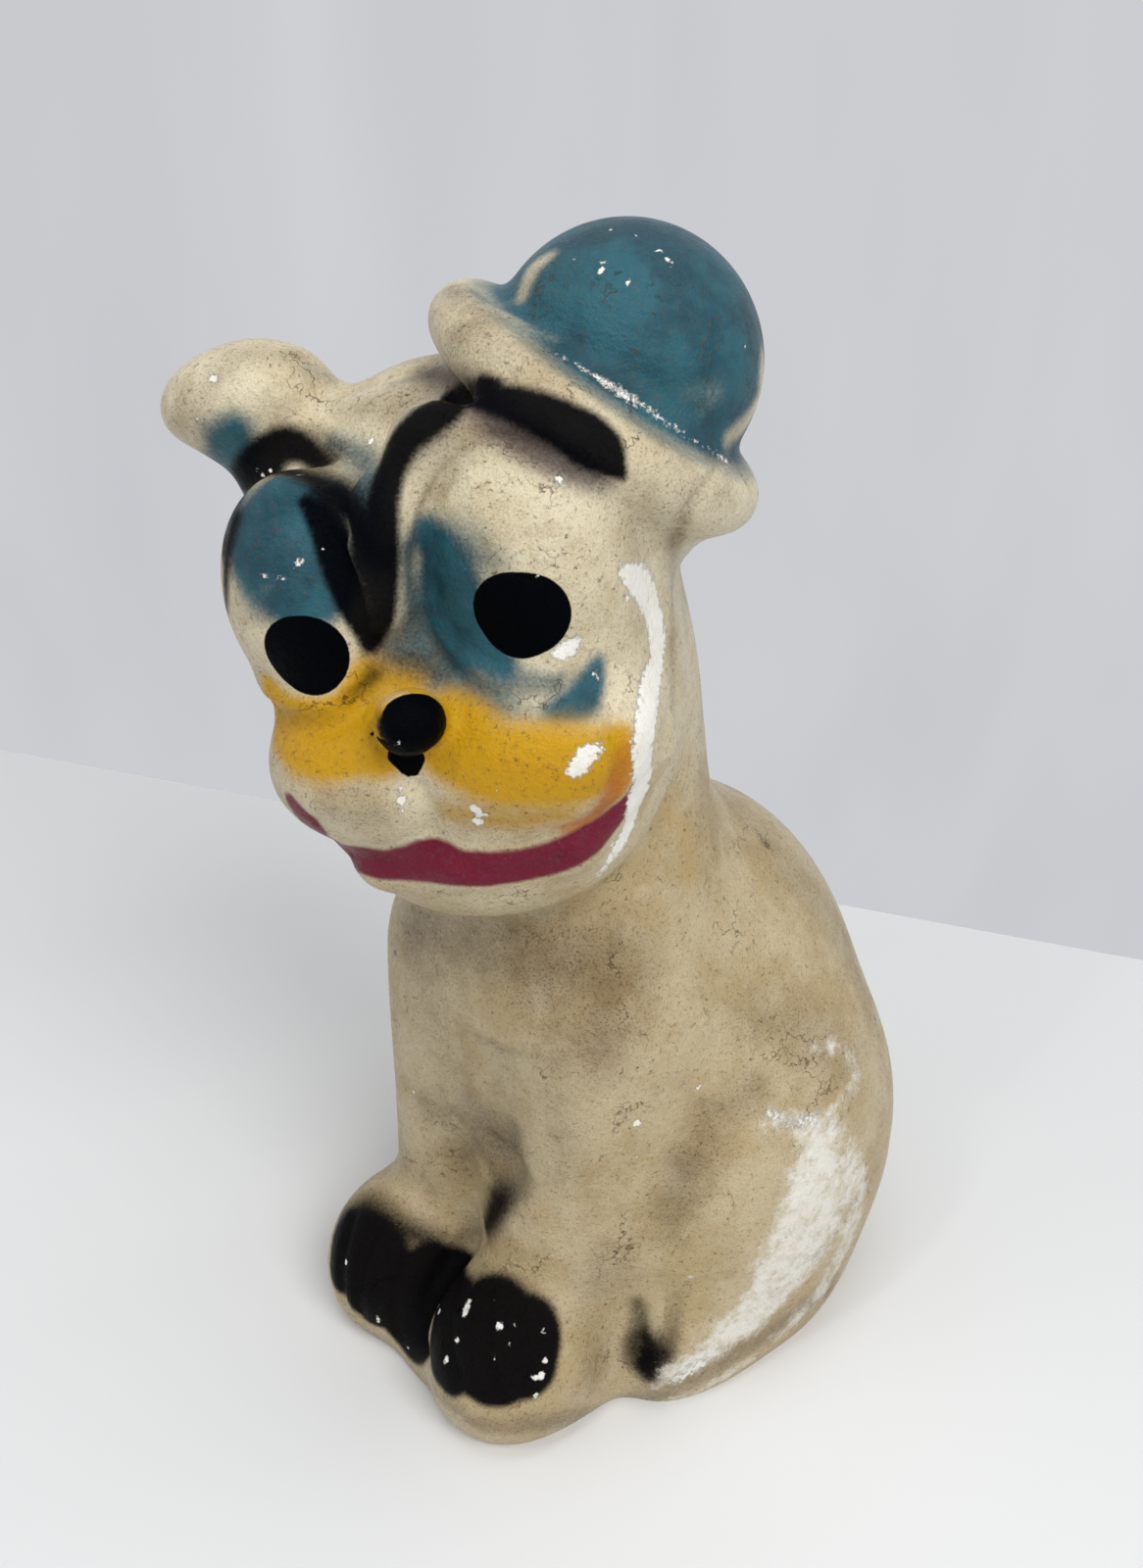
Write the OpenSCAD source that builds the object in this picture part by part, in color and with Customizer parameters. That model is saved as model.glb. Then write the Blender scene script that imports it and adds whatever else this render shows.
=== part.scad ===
// Seated pup with a tilted bowler hat, a hollow plaster figure.
// It is cast as two mould halves that meet on one flat seam. Two beads of
// plaster slip, laid along the seam on the inside, hold them together.
// Millimetres, Z up, open base on Z = 0, face towards -Y. Left and right
// are the viewer's, seen from the front.

/* [Figure] */
// Height over the hat
height = 255; // [225:1:305]
// Wall of the cast
wall = 8; // [6:0.5:9]

/* [Pose] */
// Turn of the body from the front
body_turn = 30; // [20:1:36]
// Turn of the head from the front
head_turn = 3; // [-6:1:10]
// Lean of the head to the left
head_lean = 14; // [8:1:18]
// Lean of the hat against the head, to the right
hat_lean = 46; // [42:1:50]

/* [Body] */
// Width over the haunches
haunch_w = 112; // [104:1:118]
// Width of the chest
chest_w = 70; // [64:1:76]
// Width of one forepaw
paw_w = 38; // [34:1:40]
// Height of the forepaws
paw_h = 36; // [30:1:39]

/* [Head] */
// Width of the skull
skull_w = 75; // [72:1:79]
// Height of an eye bulge
eye_h = 46; // [40:1:50]
// Width of the nose
nose_w = 12.4; // [10:0.2:15]
// Length of the ear from the head
ear_len = 56; // [50:1:60]

/* [Hat] */
// Diameter of the crown
crown_d = 51; // [48:1:54]
// Width of the brim
brim_w = 68; // [64:1:72]
// Thickness of the brim
brim_h = 12; // [10:0.5:14]

/* [Seam] */
// Gap between the two halves at the seam
seam_gap = 0.1; // [0.05:0.05:0.4]
// How far the bead of slip stands off the wall
bead_h = 4; // [2:0.5:5]

/* [Hidden] */
drawn_height = 251.1;
size = height / drawn_height;
inner_depth = wall / size;
// The drawn forms stand on this point, the middle of their box.
stand = [-9.94, 6.14, 0];

// Forms. A round is [centre, radii, blend, paired, lean about X].
// A limb is [start, end, start radius, end radius, blend, paired].
// A disc with a round edge is [centre, radius, edge radius, blend].
// Paired forms are mirrored across the middle of their own frame.
round_len = 5;
disc_len = 4;
pair_softness = 2;

function turned(x, y, z) =
    let (a = [[1, 0, 0], [0, cos(x), -sin(x)], [0, sin(x), cos(x)]],
         b = [[cos(y), 0, sin(y)], [0, 1, 0], [-sin(y), 0, cos(y)]],
         c = [[cos(z), -sin(z), 0], [sin(z), cos(z), 0], [0, 0, 1]])
    c * b * a;

body_at = [-4.3, 2.5, 0];
body_axes = turned(0, 0, -body_turn);
head_at = [-22, -12, 183.5];
head_axes = turned(0, -head_lean, head_turn);
hat_at = [30.5, 4, 31.5];
hat_axes = turned(-9, hat_lean, 0);

haunch_x = haunch_w / 2 - 20;
paw_x = paw_w / 2;

body_forms = [
    // rump, back, chest and neck
    [[0, 26, 34], [haunch_w / 2 - 5, 54, 58], 10, false, 0],
    [[0, 18, 78], [44, 47, 50], 30, false, -12],
    [[0, -12, 100], [chest_w / 2, 26, 42], 20, false, 0],
    [[-5, -5, 140], [29, 31, 34], 20, false, 0],
    // forelegs
    [[18, -19, 96], [17, -30, 24], 17.5, 13.5, 16, true],
    // foot of the cast, behind and between the paws
    [[0, 18, 4], [haunch_w / 2 - 5, 54, 24], 8, false, 0],
    [[3, -24, 4], [35, 34, 18], 8, false, 0],
    // forepaws, haunches and hind paws
    [[paw_x + 0.5, -41, paw_h - 22], [paw_x, 22, 22], 6, true, 0],
    [[haunch_x, 20, 38], [20, 38, 44], 20, true, 0],
    [[haunch_x + 5, -6, 12], [10, 18, 20], 10, true, 0],
    // stub of the tail
    [[0, 70, 12], [4, 78, 32], 7, 5, 8, false]
];

head_forms = [
    // skull, nape, cheeks and the corners of the face
    [[-4, 8, 2], [skull_w / 2, 37, 42], 16, false, 0],
    [[-2, 10, -20], [31, 30, 30], 20, false, 0],
    [[-1.5, -19, -20], [35, 25, 25], 14, false, 0],
    [[24, -12, -6], [13, 15, 32], 10, true, 0],
    // puffed lips, chin, eyes and nose
    [[15, -32, -17], [21, 17, 15], 9, true, 0],
    [[-1, -22, -38], [27, 21, 16], 10, false, 0],
    [[20, -26, 12], [17, 15, eye_h / 2], 8, true, 0],
    [[0.8, -48.5, -4.3], [nose_w / 2, 6.2, 5.5], 3, false, 0],
    // smiling lips, from the corners to the middle
    [[32, -23, -25], [18, -37, -35.5], 4, 4.5, 4, true],
    [[18, -37, -35.5], [0, -42, -35], 4.5, 4.5, 4, true],
    // S-shaped brow, between the eyes and over the right one
    [[-3.5, -35.5, 13], [1.5, -35.5, 28], 4.5, 4.5, 6, false],
    [[1.5, -35.5, 28], [10, -32.5, 37], 4.5, 4, 6, false],
    [[10, -32.5, 37], [28, -25, 36], 4, 3, 6, false],
    // ear
    [[-29, 8, 21], [20 - ear_len, 6, 38], 14, 11.5, 12, false],
    [[17.5 - ear_len, 4, 44.5], [16.5, 14, 10], 6, false, 0]
];

hat_forms = [
    // flare under the brim, straight-sided crown and thick, round-edged brim
    [[4, 2, -8], [25, 25, 13], 12, false, 0],
    [[0, 2, -4], [0, 2, 6.5], crown_d / 2, crown_d / 2 - 1, 5, false],
    [[0, 0, -2], brim_w / 2, brim_h / 2, 5]
];

function round_gap(q, r) =
    let (a = [q.x / r.x, q.y / r.y, q.z / r.z], n = norm(a))
    n * (n - 1) / max(norm([a.x / r.x, a.y / r.y, a.z / r.z]), 0.0001);

function limb_gap(q, a, b, ra, rb) =
    let (run = b - a, t = max(0, min(1, (q - a) * run / (run * run))))
    norm(q - a - t * run) - ra - (rb - ra) * t;

function disc_gap(q, r, edge) =
    norm([max(norm([q.x, q.y]) - r + edge, 0), q.z]) - edge;

function paired(q, on) = on ? [norm([q.x, pair_softness]), q.y, q.z] : q;

function form_gap(q, f) =
    len(f) == round_len
    ? let (p = paired(q, f[3]) - f[0],
           c = cos(f[4]),
           s = sin(f[4]))
      round_gap([p.x, c * p.y + s * p.z, c * p.z - s * p.y], f[1])
    : len(f) == disc_len
    ? disc_gap(q - f[0], f[1], f[2])
    : limb_gap(paired(q, f[5]), f[0], f[1], f[2], f[3]);

function form_blend(f) =
    len(f) == round_len ? f[2] : len(f) == disc_len ? f[3] : f[4];

function blended(a, b, k) =
    let (h = max(k - abs(a - b), 0) / k)
    min(a, b) - h * h * k / 4;

function forms_gap(q, forms, gap, i = 0) =
    i == len(forms)
    ? gap
    : forms_gap(q, forms, blended(gap, form_gap(q, forms[i]), form_blend(forms[i])), i + 1);

// Distance from a point to the skin of the figure, below zero inside.
// Forms that are too far away to touch a point are left out.
far = 1000;
body_top = 205;
head_reach = 80;
hat_reach = 60;

function skin_gap(p) =
    let (b = (p - body_at) * body_axes,
         h = (p - head_at) * head_axes,
         t = (h - hat_at) * hat_axes,
         body_gap = p.z > body_top ? far : forms_gap(b, body_forms, far),
         head_gap = norm(h) > head_reach ? body_gap : forms_gap(h, head_forms, body_gap))
    norm(t) > hat_reach ? head_gap : forms_gap(t, hat_forms, head_gap);

// Path of the sweep, from the base up the neck and over into the hat.
// Rays leave each station all round and end on the skin. A station is
// [x, z, lean right, lift all round, lift in front, lift behind, steps].
path = [
    [3, 0, 0, 0, 0, 0, 4],
    [3, 22, 0, 0, -6, 0, 8],
    [3, 52, 0, 0, -25, -3, 6],
    [2, 76, 0, 0, -24, -3, 4],
    [-2, 104, -2, 0, -8, 0, 4],
    [-8, 124, -6, 0, 0, 0, 5],
    [-18, 152, -12, 0, -26, 0, 7],
    [-21, 173, -13, 0, -9, 0, 8],
    [-22, 184, -14, 0, 0, 0, 6],
    [-20, 200, 2, 0, 4, 2, 9],
    [-10, 211, 13, 0, 6, 4, 7],
    [-2, 219, 24, 0, 8, 0, 6],
    [1, 223, 32, 8, 3, 0, 4],
    [4, 228, 32, 30, 0, 0, 4],
    [4, 228, 32, 82, 0, 0, 0]
];

stations = concat(
    [for (i = [0:len(path) - 2], s = [0:path[i][6] - 1])
        path[i] + (path[i + 1] - path[i]) * s / path[i][6]],
    [path[len(path) - 1]]
);
rings = len(stations) - 1;
inner_skip = 2;

// Columns round each half, closer together at the ear and at the nose.
// Each row is [turn, steps to the next row].
front_turns = [[180, 8], [214, 8], [262, 14], [292, 12], [360, 0]];
back_turns = [[0, 18], [130, 12], [180, 0]];

function spread(rows) = concat(
    [for (i = [0:len(rows) - 2], s = [0:rows[i][1] - 1])
        rows[i][0] + (rows[i + 1][0] - rows[i][0]) * s / rows[i][1]],
    [rows[len(rows) - 1][0]]
);

function ray(s, turn) =
    let (side = sin(turn),
         lift = s[3] + abs(side) * (side < 0 ? s[4] : s[5]),
         x = cos(turn) * cos(lift),
         z = sin(lift))
    [x * cos(s[2]) + z * sin(s[2]), side * cos(lift), z * cos(s[2]) - x * sin(s[2])];

// Walks out along a ray until it has crossed the skin, then halves in.
least_step = 0.8;
halvings = 5;

function crossing(o, u, depth, near, beyond, n) =
    n == 0
    ? (near + beyond) / 2
    : let (mid = (near + beyond) / 2)
      skin_gap(o + mid * u) + depth > 0
      ? crossing(o, u, depth, near, mid, n - 1)
      : crossing(o, u, depth, mid, beyond, n - 1);

function reach(o, u, depth, t) =
    let (next = t + max(least_step, -(skin_gap(o + t * u) + depth)))
    skin_gap(o + next * u) + depth > 0
    ? crossing(o, u, depth, t, next, halvings)
    : reach(o, u, depth, next);

function skin_point(s, turn, depth) =
    let (o = [s[0], 0, s[1]], u = ray(s, turn))
    (o + u * reach(o, u, depth, 1) - stand) * size;

function top_point(depth) =
    let (s = stations[rings], o = [s[0], 0, s[1]], u = [sin(s[2]), 0, cos(s[2])])
    (o + u * reach(o, u, depth, 1) - stand) * size;

function grid(turns, depth, skip) =
    [for (i = [0:skip:rings], j = [0:skip:len(turns) - 1])
        skin_point(stations[i], turns[j], depth)];

function flipped(faces, on) =
    on ? [for (f = faces) [f[2], f[1], f[0]]] : faces;

// Two triangles on the shorter diagonal of each cell.
function cell(p, a, b, c, d) =
    norm(p[a] - p[c]) < norm(p[b] - p[d])
    ? [[a, b, c], [a, c, d]]
    : [[a, b, d], [b, c, d]];

function sheet(p, rows, columns, base, inside) =
    [for (i = [0:rows - 1], j = [0:columns - 1])
        let (a = base + i * (columns + 1) + j, b = a + columns + 1)
        each flipped(cell(p, a, b, b + 1, a + 1), inside)];

// Closes two coarse points on the inside to three fine ones outside.
function rim(a, b, other_way) =
    [for (i = [0:len(b) - 2])
        each flipped([
            [a[2 * i + 1], a[2 * i], b[i]],
            [a[2 * i + 1], b[i], b[i + 1]],
            [a[2 * i + 2], a[2 * i + 1], b[i + 1]]
        ], other_way)];

module half_shell(turns) {
    columns = len(turns) - 1;
    outer_n = (rings + 1) * (columns + 1);
    inner_columns = columns / inner_skip;
    inner_rings = rings / inner_skip;
    inner_n = (inner_rings + 1) * (inner_columns + 1);
    points = concat(
        grid(turns, 0, 1),
        grid(turns, inner_depth, inner_skip),
        [top_point(0), top_point(inner_depth)]
    );
    top = outer_n + inner_n;
    outer_last = rings * (columns + 1);
    inner_last = outer_n + inner_rings * (inner_columns + 1);
    left = [for (i = [0:rings]) i * (columns + 1)];
    left_in = [for (i = [0:inner_rings]) outer_n + i * (inner_columns + 1)];
    right = [for (i = left) i + columns];
    right_in = [for (i = left_in) i + inner_columns];
    faces = concat(
        sheet(points, rings, columns, 0, false),
        sheet(points, inner_rings, inner_columns, outer_n, true),
        [for (j = [0:columns - 1]) [outer_last + j, top, outer_last + j + 1]],
        [for (j = [0:inner_columns - 1]) [inner_last + j + 1, top + 1, inner_last + j]],
        rim([for (j = [0:columns]) j], [for (j = [0:inner_columns]) outer_n + j], true),
        rim(left, left_in, false),
        rim(right, right_in, true),
        [[top, outer_last, inner_last], [top, inner_last, top + 1]],
        [[inner_last + inner_columns, outer_last + columns, top],
         [top + 1, inner_last + inner_columns, top]]
    );
    polyhedron(points = points, faces = faces);
}

module front_shell() {
    color("#C9BC9D") translate([0, -seam_gap / 2, 0]) half_shell(spread(front_turns));
}

module back_shell() {
    color("#BDB092") translate([0, seam_gap / 2, 0]) half_shell(spread(back_turns));
}

// One slice of a bead of slip: the seam line on the wall, a foot on each
// half and the crest that faces the hollow. The beads start a little above
// the base and end at the neck, as far as a brush reaches from below.
bead_clearance = 0.7;
bead_foot = 0.5;
bead_start = 5;
bead_reach = 156;

function bead_slice(s, turn, front_turn, back_turn) =
    let (o = ([s[0], 0, s[1]] - stand) * size,
         seam = skin_point(s, turn, inner_depth),
         front = skin_point(s, front_turn, inner_depth),
         back = skin_point(s, back_turn, inner_depth),
         in = (o - seam) / norm(o - seam),
         off = in * bead_clearance)
    [seam + off,
     seam + bead_foot * (front - seam) + off,
     seam + in * bead_h,
     seam + bead_foot * (back - seam) + off];

module bead(turn, front_turn, back_turn, mirrored) {
    slices = [for (i = [0:inner_skip:rings])
        if (stations[i][1] >= bead_start && stations[i][1] <= bead_reach)
            bead_slice(stations[i], turn, front_turn, back_turn)];
    last = 4 * (len(slices) - 1);
    points = [for (s = slices) each s];
    faces = concat(
        [[0, 2, 3], [0, 1, 2]],
        [for (i = [0:len(slices) - 2], j = [0:3])
            let (a = 4 * i + j, b = 4 * i + (j + 1) % 4)
            each [[a, b + 4, b], [a, a + 4, b + 4]]],
        [[last, last + 2, last + 1], [last, last + 3, last + 2]]
    );
    color("#E4DDCB") polyhedron(points = points, faces = flipped(faces, mirrored));
}

module left_lute() {
    front = spread(front_turns);
    back = spread(back_turns);
    bead(180, front[inner_skip], back[len(back) - 1 - inner_skip], false);
}

module right_lute() {
    front = spread(front_turns);
    back = spread(back_turns);
    bead(0, front[len(front) - 1 - inner_skip], back[inner_skip], true);
}

front_shell();
back_shell();
left_lute();
right_lute();
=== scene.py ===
import math
from functools import partial

import bmesh
import bpy
import numpy as np
from mathutils import Euler, Matrix, Vector


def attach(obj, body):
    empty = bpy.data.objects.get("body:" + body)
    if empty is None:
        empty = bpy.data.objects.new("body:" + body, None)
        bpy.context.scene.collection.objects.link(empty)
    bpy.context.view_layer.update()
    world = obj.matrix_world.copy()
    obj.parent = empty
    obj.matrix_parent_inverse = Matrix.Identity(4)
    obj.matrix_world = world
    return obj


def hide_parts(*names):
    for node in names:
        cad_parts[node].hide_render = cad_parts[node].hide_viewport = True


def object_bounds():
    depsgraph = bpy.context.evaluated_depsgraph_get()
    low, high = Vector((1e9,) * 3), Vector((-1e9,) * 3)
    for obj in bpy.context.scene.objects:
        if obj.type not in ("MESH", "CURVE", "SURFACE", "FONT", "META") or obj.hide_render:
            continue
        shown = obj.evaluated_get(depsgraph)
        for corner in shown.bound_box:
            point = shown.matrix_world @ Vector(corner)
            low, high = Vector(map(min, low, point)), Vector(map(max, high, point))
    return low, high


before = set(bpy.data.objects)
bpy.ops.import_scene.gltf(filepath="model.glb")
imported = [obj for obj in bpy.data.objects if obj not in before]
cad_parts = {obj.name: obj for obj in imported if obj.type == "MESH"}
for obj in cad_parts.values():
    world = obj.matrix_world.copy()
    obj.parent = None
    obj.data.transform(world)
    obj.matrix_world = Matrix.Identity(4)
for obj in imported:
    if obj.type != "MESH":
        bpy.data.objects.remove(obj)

cadBox = [[float(value) for value in corner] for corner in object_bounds()]

# Seated pup in a tilted bowler hat, cast hollow in plaster of Paris in two halves.
# The forms are drawn in millimetres in the same three frames as the solids: body,
# head and hat. Paint, dirt with some painted shade and highlight, and chips are strokes
# laid on the skin through the photograph's camera, and are kept on the mesh as attributes.

photo = {
    "width": 1166, "height": 1600,        # pixels of the photograph
    "focal": 1450,                        # focal length, in those pixels
    "at": (68.95, -252.89, 283.0),        # mm, in the frame the forms are drawn in
    "pitch": 61.2, "turn": 17.0,          # degrees
    "sensor": 36.0,                       # mm
}

casting = {
    "height": 255.0,                      # over the hat, as in the solids
    "drawnHeight": 251.1,
    "stand": (-9.94, 6.14, 0.0),          # the drawn point that ends up at the origin
    "wall": 8.0,                          # mm, as in the solids
    "limbSteps": 10,                      # gaps between the balls along a limb in the rough mesh
    "seam": 0.0,                          # the halves meet on this drawn Y
    "roughGrid": 2.6,                     # grid of the first remesh
    "fineGrid": 1.16,                     # grid of the kept mesh
    "pairSoftness": 2.0,                  # rounds the middle of mirrored forms
    "cutReach": 0.06,                     # a cut takes in points this near
    "onPlane": 0.08,                      # a point this near a cut lies on it
    "lift": 0.02,                         # the inner wall stays this far off the floor
    "taper": 4,                           # points over which a carved line fades in
}

size = casting["height"] / casting["drawnHeight"]
stand = np.array(casting["stand"], np.float32)


def toScene(points):
    return (np.asarray(points, np.float32) - stand) * (size * 0.001)


def addObject(name, data):
    added = bpy.data.objects.new(name, data)
    bpy.context.scene.collection.objects.link(added)
    return added


def addCamera():
    data = bpy.data.cameras.new("photoCamera")
    data.sensor_width = photo["sensor"]
    data.lens = photo["sensor"] * photo["focal"] / photo["height"]
    data.clip_start = 0.01
    camera = addObject("photoCamera", data)
    camera.location = Vector([float(v) for v in toScene(photo["at"])])
    camera.rotation_euler = Euler((math.radians(photo["pitch"]), 0, math.radians(photo["turn"])))
    bpy.context.scene.camera = camera


def hexColour(text):
    values = [int(text[i:i + 2], 16) / 255 for i in (1, 3, 5)]
    return [v / 12.92 if v <= 0.04045 else ((v + 0.055) / 1.055) ** 2.4 for v in values] + [1.0]


def addNode(tree, kind, *values, give=None, **settings):
    # Adds one node with its settings. The values fill its sockets in order, each a number, a
    # colour or another node's output, and None leaves a socket alone. Gives one output back.
    node = tree.nodes.new("ShaderNode" + kind)
    for name, value in settings.items():
        setattr(node, name, value)
    for socket, value in zip([socket for socket in node.inputs if socket.enabled], values):
        if isinstance(value, bpy.types.NodeSocket):
            tree.links.new(value, socket)
        elif value is not None:
            socket.default_value = value
    return node.outputs[give] if give else next(output for output in node.outputs if output.enabled)


# Settings that the nodes share
smoothly = {"interpolation_type": "SMOOTHSTEP"}
inColour = {"data_type": "RGBA"}
plus, less, times, most, timesPlus = ({"operation": kind} for kind in
                                      ("ADD", "SUBTRACT", "MULTIPLY", "MAXIMUM", "MULTIPLY_ADD"))


room = {
    "floor": "#E8E9E9", "floorRoughness": 0.55,
    "edgeLeft": (0, 765), "edgeRight": (1166, 980),     # far edge of the table, in pixels of the photograph
    "reach": 3.0,                                       # half of the table's side, m
    "curtain": "#D2D3D7", "curtainFoldShade": "#C3C4C9",
    "foldStretch": (6.0, 6.0, 1.2), "foldScale": 1.6,
    "sky": "#F4F6FA", "skyLevel": 0.4,
    "lamps": {
        # place, aim and size in m, power in watts
        "keyWindow": ((0.62, -0.62, 1.0), (0, 0, 0.12), (0.6, 0.6), 9.0),
        "fillWindow": ((-0.9, -0.5, 0.6), (0, 0, 0.14), (0.6, 0.8), 1.2),
        "topWindow": ((0.05, -0.05, 1.2), (0, 0, 0.1), (0.8, 0.3), 3.0),
        "glintStrip": ((-0.25, -0.5, 0.9), (0, 0, 0.2), (0.05, 0.16), 0.7),
    },
}


def addRoom():
    # The table ends where the photograph shows its far edge.
    rays = cameraRays([room["edgeLeft"], room["edgeRight"]])
    eye = toScene(photo["at"])
    left, right = (eye - ray * (eye[2] / ray[2]) for ray in rays)
    slant = math.atan2(right[1] - left[1], right[0] - left[0])
    edge = Matrix.Translation([float(v) for v in left]) @ Matrix.Rotation(slant, 4, "Z")
    mesh = bpy.data.meshes.new("floor")
    made = bmesh.new()
    bmesh.ops.create_grid(made, x_segments=2, y_segments=2, size=room["reach"],
                          matrix=edge @ Matrix.Translation((0, -room["reach"], 0)))
    made.to_mesh(mesh)
    made.free()
    # Matt laminate: plain, with a soft sheen.
    material = bpy.data.materials.new("mattLaminate")
    material.use_nodes = True
    shader = material.node_tree.nodes["Principled BSDF"]
    shader.inputs["Base Color"].default_value = hexColour(room["floor"])
    shader.inputs["Roughness"].default_value = room["floorRoughness"]
    mesh.materials.append(material)
    floor = addObject("floor", mesh)


def addCurtain():
    # A pale hanging cloth fills the room beyond the table. It is only looked at and reflected:
    # the sky lights the figure.
    world = bpy.data.worlds.new("room")
    world.use_nodes = True
    tree = world.node_tree
    add = partial(addNode, tree)
    sky = tree.nodes["Background"]
    sky.inputs["Color"].default_value = hexColour(room["sky"])
    sky.inputs["Strength"].default_value = room["skyLevel"]
    # the darker folds of the cloth are painted shade
    drawn = add("Mapping", add("TexCoord", give="Generated"), None, None, room["foldStretch"])
    foldShade = add("TexNoise", drawn, room["foldScale"], 2.0)
    cloth = add("Mix", foldShade, hexColour(room["curtainFoldShade"]), hexColour(room["curtain"]), **inColour)
    seen = add("Background", cloth, 1.0)
    rays = ("Is Camera Ray", "Is Glossy Ray", "Is Transmission Ray")
    camera, gloss, through = (add("LightPath", give=ray) for ray in rays)
    looked = add("Math", add("Math", camera, gloss, **most), through, **most)
    both = add("MixShader", looked, sky.outputs[0], seen)
    tree.links.new(both, tree.nodes["World Output"].inputs["Surface"])
    bpy.context.scene.world = world


def addLamps():
    for name, (at, aim, sides, power) in room["lamps"].items():
        data = bpy.data.lights.new(name, "AREA")
        data.shape = "RECTANGLE"
        data.size, data.size_y = sides
        data.energy = power
        lamp = addObject(name, data)
        lamp.location = at
        lamp.rotation_euler = (Vector(aim) - Vector(at)).to_track_quat("-Z", "Y").to_euler()
    bpy.context.scene.view_settings.view_transform = "Standard"


def placed(at, turn, parent=Matrix()):
    return parent @ Matrix.Translation(at) @ Euler([math.radians(v) for v in turn]).to_matrix().to_4x4()


headFrame = placed((-22, -12, 183.5), (0, -14, 3))
frames = {
    "body": placed((-4.3, 2.5, 0), (0, 0, -30)),
    "head": headFrame,
    "hat": placed((30.5, 4, 31.5), (-9, 46, 0), headFrame),
}


def roundForm(part, centre, radii, blend, paired=False, lean=0):
    return {"part": part, "centre": centre, "radii": radii, "blend": blend, "paired": paired, "lean": lean}


def limbForm(part, start, end, radii, blend, paired=False):
    return {"part": part, "start": start, "end": end, "radii": radii, "blend": blend, "paired": paired}


def discForm(part, centre, radius, edge, blend):
    return {"part": part, "centre": centre, "radius": radius, "edge": edge, "blend": blend, "paired": False}


forms = [
    # rump, back, chest, neck, forelegs and foot of the cast
    roundForm("body", (0, 26, 34), (51, 54, 58), 10),
    roundForm("body", (0, 18, 78), (44, 47, 50), 30, lean=-12),
    roundForm("body", (0, -12, 100), (35, 26, 42), 20),
    roundForm("body", (-5, -5, 140), (29, 31, 34), 20),
    limbForm("body", (18, -19, 96), (17, -30, 24), (17.5, 13.5), 16, True),
    roundForm("body", (0, 18, 4), (51, 54, 24), 8),
    roundForm("body", (3, -24, 4), (35, 34, 18), 8),
    # forepaws, haunches, hind paws and the stub of the tail
    roundForm("body", (19.5, -41, 14), (19, 22, 22), 6, True),
    roundForm("body", (36, 20, 38), (20, 38, 44), 20, True),
    roundForm("body", (41, -6, 12), (10, 18, 20), 10, True),
    limbForm("body", (0, 70, 12), (4, 78, 32), (7, 5), 8),
    # skull, nape, cheeks and the corners of the face
    roundForm("head", (-4, 8, 2), (37.5, 37, 42), 16),
    roundForm("head", (-2, 10, -20), (31, 30, 30), 20),
    roundForm("head", (-1.5, -19, -20), (35, 25, 25), 14),
    roundForm("head", (24, -12, -6), (13, 15, 32), 10, True),
    # puffed lips, chin, eyes, nose and mouth
    roundForm("head", (15, -32, -17), (21, 17, 15), 9, True),
    roundForm("head", (-1, -22, -38), (27, 21, 16), 10),
    roundForm("head", (20, -26, 12), (17, 15, 23), 8, True),
    roundForm("head", (0.8, -48.5, -4.3), (6.2, 6.2, 5.5), 3),
    limbForm("head", (32, -23, -25), (18, -37, -35.5), (4, 4.5), 4, True),
    limbForm("head", (18, -37, -35.5), (0, -42, -35), (4.5, 4.5), 4, True),
    # S-shaped brow and the ear
    limbForm("head", (-3.5, -35.5, 13), (1.5, -35.5, 28), (4.5, 4.5), 6),
    limbForm("head", (1.5, -35.5, 28), (10, -32.5, 37), (4.5, 4), 6),
    limbForm("head", (10, -32.5, 37), (28, -25, 36), (4, 3), 6),
    limbForm("head", (-29, 8, 21), (-36, 6, 38), (14, 11.5), 12),
    roundForm("head", (-38.5, 4, 44.5), (16.5, 14, 10), 6),
    # flare under the brim, crown and thick round-edged brim
    roundForm("hat", (4, 2, -8), (25, 25, 13), 12),
    limbForm("hat", (0, 2, -4), (0, 2, 6.5), (25.5, 24.5), 5),
    discForm("hat", (0, 0, -2), 34, 6, 5),
]


def intoPart(points, part):
    axes = np.array(frames[part].to_3x3(), np.float32)
    return (points - np.array(frames[part].translation, np.float32)) @ axes


def formGap(q, form):
    if form["paired"]:
        q = q.copy()
        q[:, 0] = np.sqrt(q[:, 0] ** 2 + casting["pairSoftness"] ** 2)
    if "edge" in form:
        q = q - np.array(form["centre"], np.float32)
        out = np.maximum(np.hypot(q[:, 0], q[:, 1]) - (form["radius"] - form["edge"]), 0)
        return np.hypot(out, q[:, 2]) - form["edge"]
    if "centre" in form:
        q = q - np.array(form["centre"], np.float32)
        if form["lean"]:
            c, s = math.cos(math.radians(form["lean"])), math.sin(math.radians(form["lean"]))
            q = np.stack([q[:, 0], c * q[:, 1] + s * q[:, 2], c * q[:, 2] - s * q[:, 1]], 1)
        near = q / np.array(form["radii"], np.float32)
        reach = np.sqrt((near ** 2).sum(1))
        slope = np.sqrt(((near / np.array(form["radii"], np.float32)) ** 2).sum(1)) + 1e-6
        return reach * (reach - 1) / slope
    start = np.array(form["start"], np.float32)
    run = np.array(form["end"], np.float32) - start
    t = np.clip(((q - start) @ run) / (run @ run), 0, 1)
    away = np.sqrt((((q - start) - t[:, None] * run) ** 2).sum(1))
    return away - (form["radii"][0] + (form["radii"][1] - form["radii"][0]) * t)


def skinGap(points, parts=("body", "head", "hat")):
    # Distance to the skin in mm, below zero inside.
    points = np.asarray(points, np.float32)
    near = {part: intoPart(points, part) for part in parts}
    gap = None
    for form in forms:
        if form["part"] not in parts:
            continue
        new = formGap(near[form["part"]], form)
        if gap is None:
            gap = new
            continue
        h = np.maximum(form["blend"] - np.abs(gap - new), 0) / form["blend"]
        gap = np.minimum(gap, new) - h * h * form["blend"] / 4
    return gap


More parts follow.
